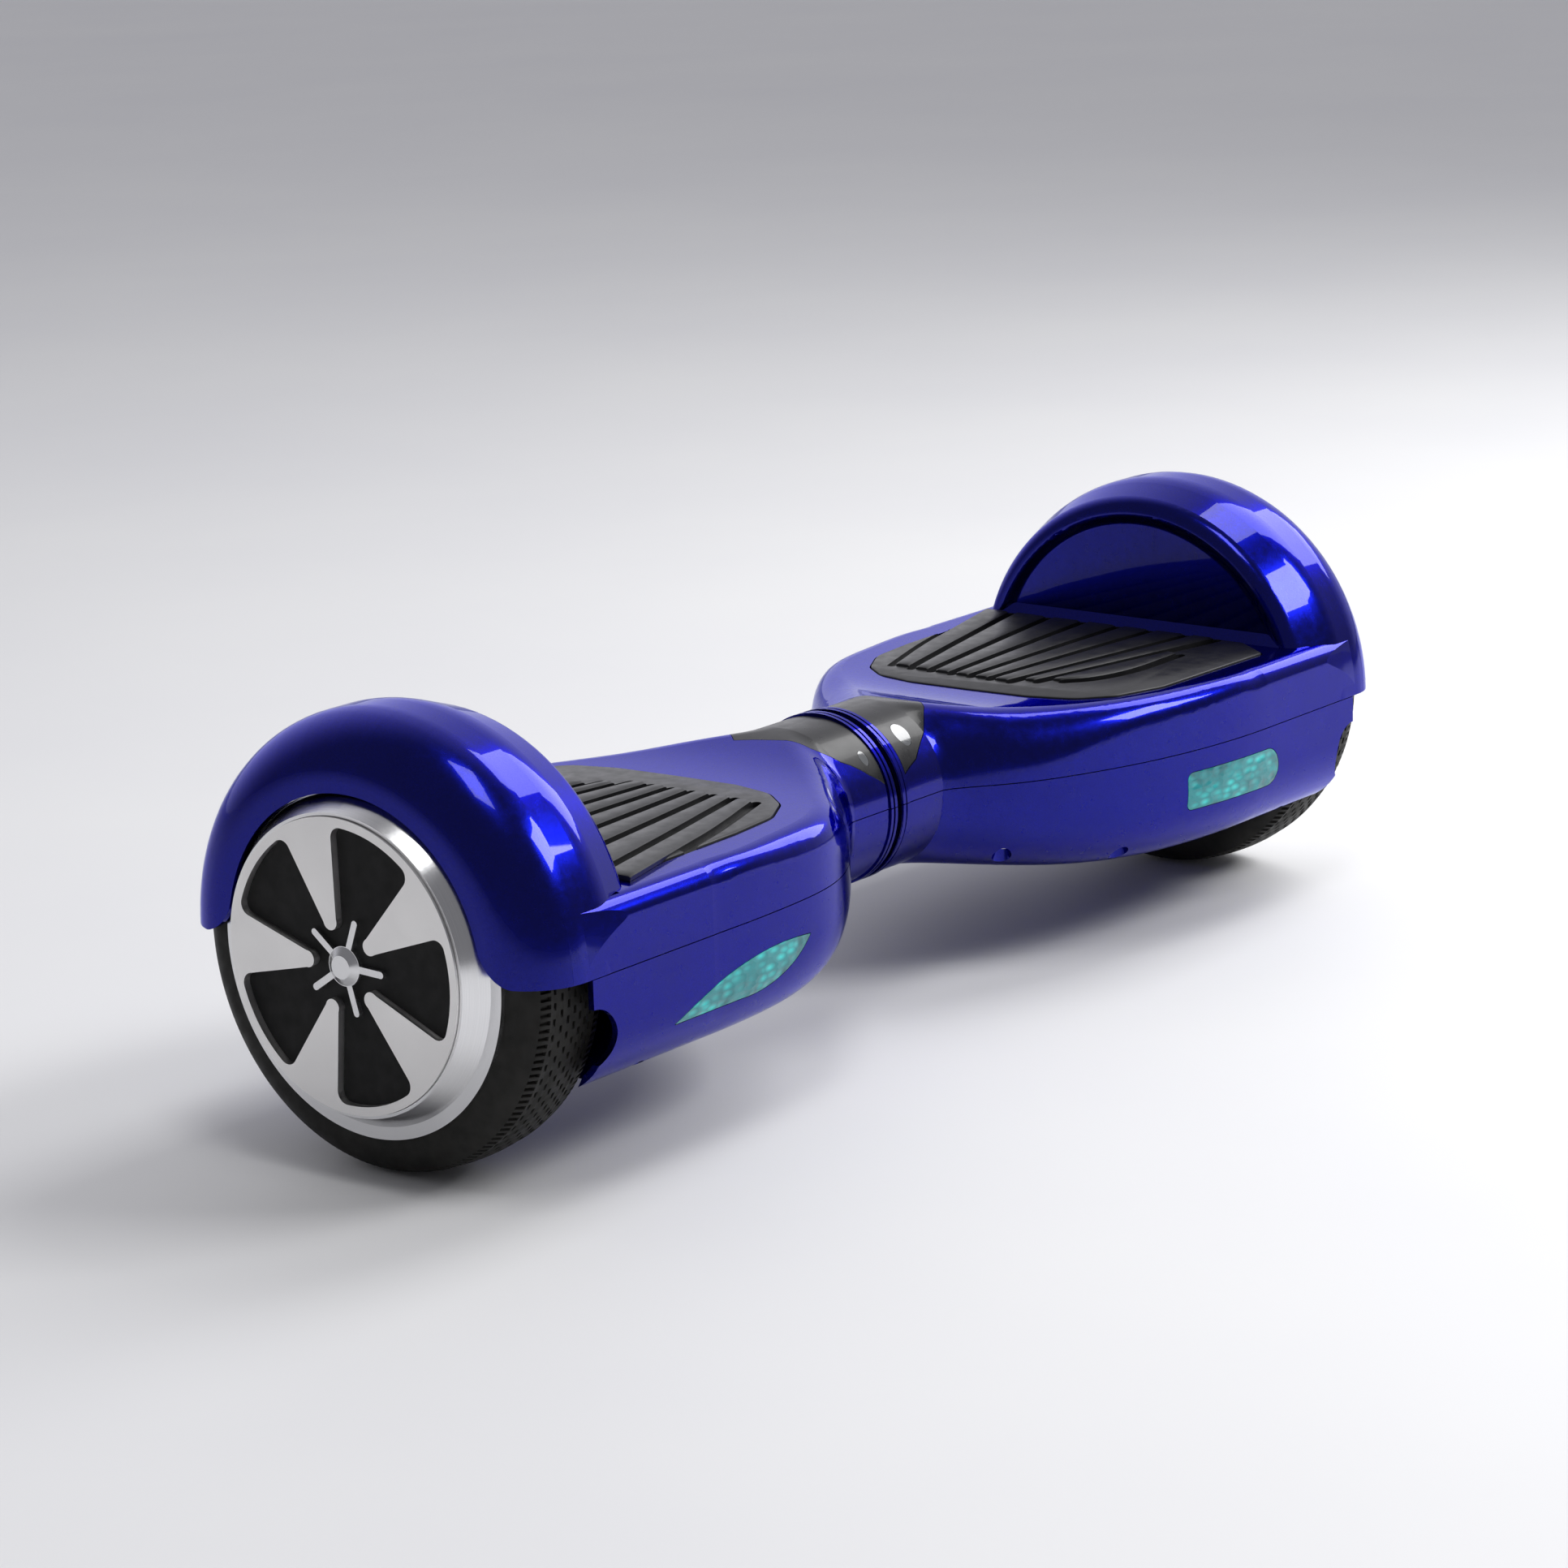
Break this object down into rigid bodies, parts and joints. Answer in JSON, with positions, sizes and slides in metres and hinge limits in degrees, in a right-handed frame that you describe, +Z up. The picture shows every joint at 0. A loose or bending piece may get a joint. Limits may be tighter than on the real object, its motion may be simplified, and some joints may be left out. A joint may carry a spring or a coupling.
{
  "type": "self balancing hoverboard",
  "caption": "Two-wheel self balancing board: two shells that twist on a centre pivot, arched wheel covers, ribbed foot pads, front lights and hub motors.",
  "frame": {"origin": "on the ground midway between the wheels, at the bottom centre of the bounding box", "axes": "+Z up; +X along the wheel axle line, towards the half that holds the main board; -Y is the face with the front lights"},
  "size_m": [0.5936, 0.186, 0.178],
  "materials": {
    "body_paint": "metallic blue lacquer, high gloss",
    "trim_black": "gloss black",
    "smoke_lens": "smoked clear plastic",
    "teal_lens": "tinted clear plastic, ribbed inside",
    "circuit_board": "solder mask",
    "steel": "zinc plated",
    "bearing_steel": "ground",
    "pad_rubber": "moulded, fine grain",
    "cast_aluminium": "die cast, matt",
    "tyre_rubber": "solid rubber with a fine tread",
    "turned_aluminium": "turned, bright",
    "face_aluminium": "satin, circular brushing",
    "cap_aluminium": "turned cone",
    "insert_black": "satin black",
    "magnet": "nickel plated",
    "stator_steel": "laminations with copper windings",
    "cable": "heat-shrink sleeve",
    "bronze": "sintered",
    "seal_rubber": "matt",
    "button_metal": "anodised",
    "black_plastic": "moulded",
    "socket_metal": "plated",
    "battery_wrap": "cells in heat-shrink film"
  },
  "bodies": {
    "left_half": {"axle_clamp_left": "cast_aluminium", "axle_left": "steel", "battery_pack": "battery_wrap", "bottom_cover_left": "body_paint", "chassis_left": "cast_aluminium", "clamp_bolts_left": "steel", "cover_screws_left": "steel", "gyro_board_left": "circuit_board", "indicator_lenses_left": "smoke_lens", "led_boards_left": "circuit_board", "light_lenses_left": "teal_lens", "neck_seal": "seal_rubber", "neck_trim_left": "trim_black", "pad_switch_board_left": "circuit_board", "pivot_circlip": "steel", "pivot_shaft": "steel", "stator_left": "stator_steel", "top_cover_left": "body_paint", "twist_stop_pin": "steel", "wiring_left": "cable"},
    "right_half": {"axle_clamp_right": "cast_aluminium", "axle_right": "steel", "bottom_cover_right": "body_paint", "charge_socket": "socket_metal", "chassis_right": "cast_aluminium", "clamp_bolts_right": "steel", "cover_screws_right": "steel", "gyro_board_right": "circuit_board", "heat_sink": "cast_aluminium", "indicator_lenses_right": "smoke_lens", "led_boards_right": "circuit_board", "light_lenses_right": "teal_lens", "main_board": "circuit_board", "neck_trim_right": "trim_black", "pad_switch_board_right": "circuit_board", "pivot_bushings": "bronze", "power_switch": "black_plastic", "stator_right": "stator_steel", "top_cover_right": "body_paint", "wiring_right": "cable"},
    "left_wheel": {"hub_cap_left": "cap_aluminium", "hub_insert_left": "insert_black", "magnet_ring_left": "magnet", "motor_cover_left": "turned_aluminium", "rim_shell_left": "turned_aluminium", "spoke_cover_left": "face_aluminium", "tyre_left": "tyre_rubber", "wheel_bearings_left": "bearing_steel"},
    "left_foot_pad": {"foot_pad_left": "pad_rubber"},
    "right_wheel": {"hub_cap_right": "cap_aluminium", "hub_insert_right": "insert_black", "magnet_ring_right": "magnet", "motor_cover_right": "turned_aluminium", "rim_shell_right": "turned_aluminium", "spoke_cover_right": "face_aluminium", "tyre_right": "tyre_rubber", "wheel_bearings_right": "bearing_steel"},
    "right_foot_pad": {"foot_pad_right": "pad_rubber"},
    "power_button": {"power_button": "button_metal"},
    "charge_cap": {"charge_cap": "seal_rubber"}
  },
  "joints": [
    {"name": "twist_pivot", "type": "hinge", "parent": "left_half", "child": "right_half", "pos_m": [0, 0, 0.085], "axis": [1, 0, 0], "range_deg": [-12, 12]},
    {"name": "left_wheel_spin", "type": "hinge", "parent": "left_half", "child": "left_wheel", "pos_m": [-0.2625, 0, 0.085], "axis": [1, 0, 0], "continuous": true},
    {"name": "right_wheel_spin", "type": "hinge", "parent": "right_half", "child": "right_wheel", "pos_m": [0.2625, 0, 0.085], "axis": [1, 0, 0], "continuous": true},
    {"name": "left_pad_press", "type": "slide", "parent": "left_half", "child": "left_foot_pad", "axis": [0, 0, -1], "range_m": [0, 0.0015], "stiffness_N_per_m": 6000, "springref_m": -0.0008},
    {"name": "right_pad_press", "type": "slide", "parent": "right_half", "child": "right_foot_pad", "axis": [0, 0, -1], "range_m": [0, 0.0015], "stiffness_N_per_m": 6000, "springref_m": -0.0008},
    {"name": "power_button_press", "type": "slide", "parent": "right_half", "child": "power_button", "axis": [0, -1, 0], "range_m": [0, 0.001], "stiffness_N_per_m": 400, "springref_m": -0.001},
    {"name": "charge_cap_open", "type": "hinge", "parent": "right_half", "child": "charge_cap", "pos_m": [0.1, 0.0762, 0.0572], "axis": [-1, 0, 0], "range_deg": [0, 95]}
  ]
}
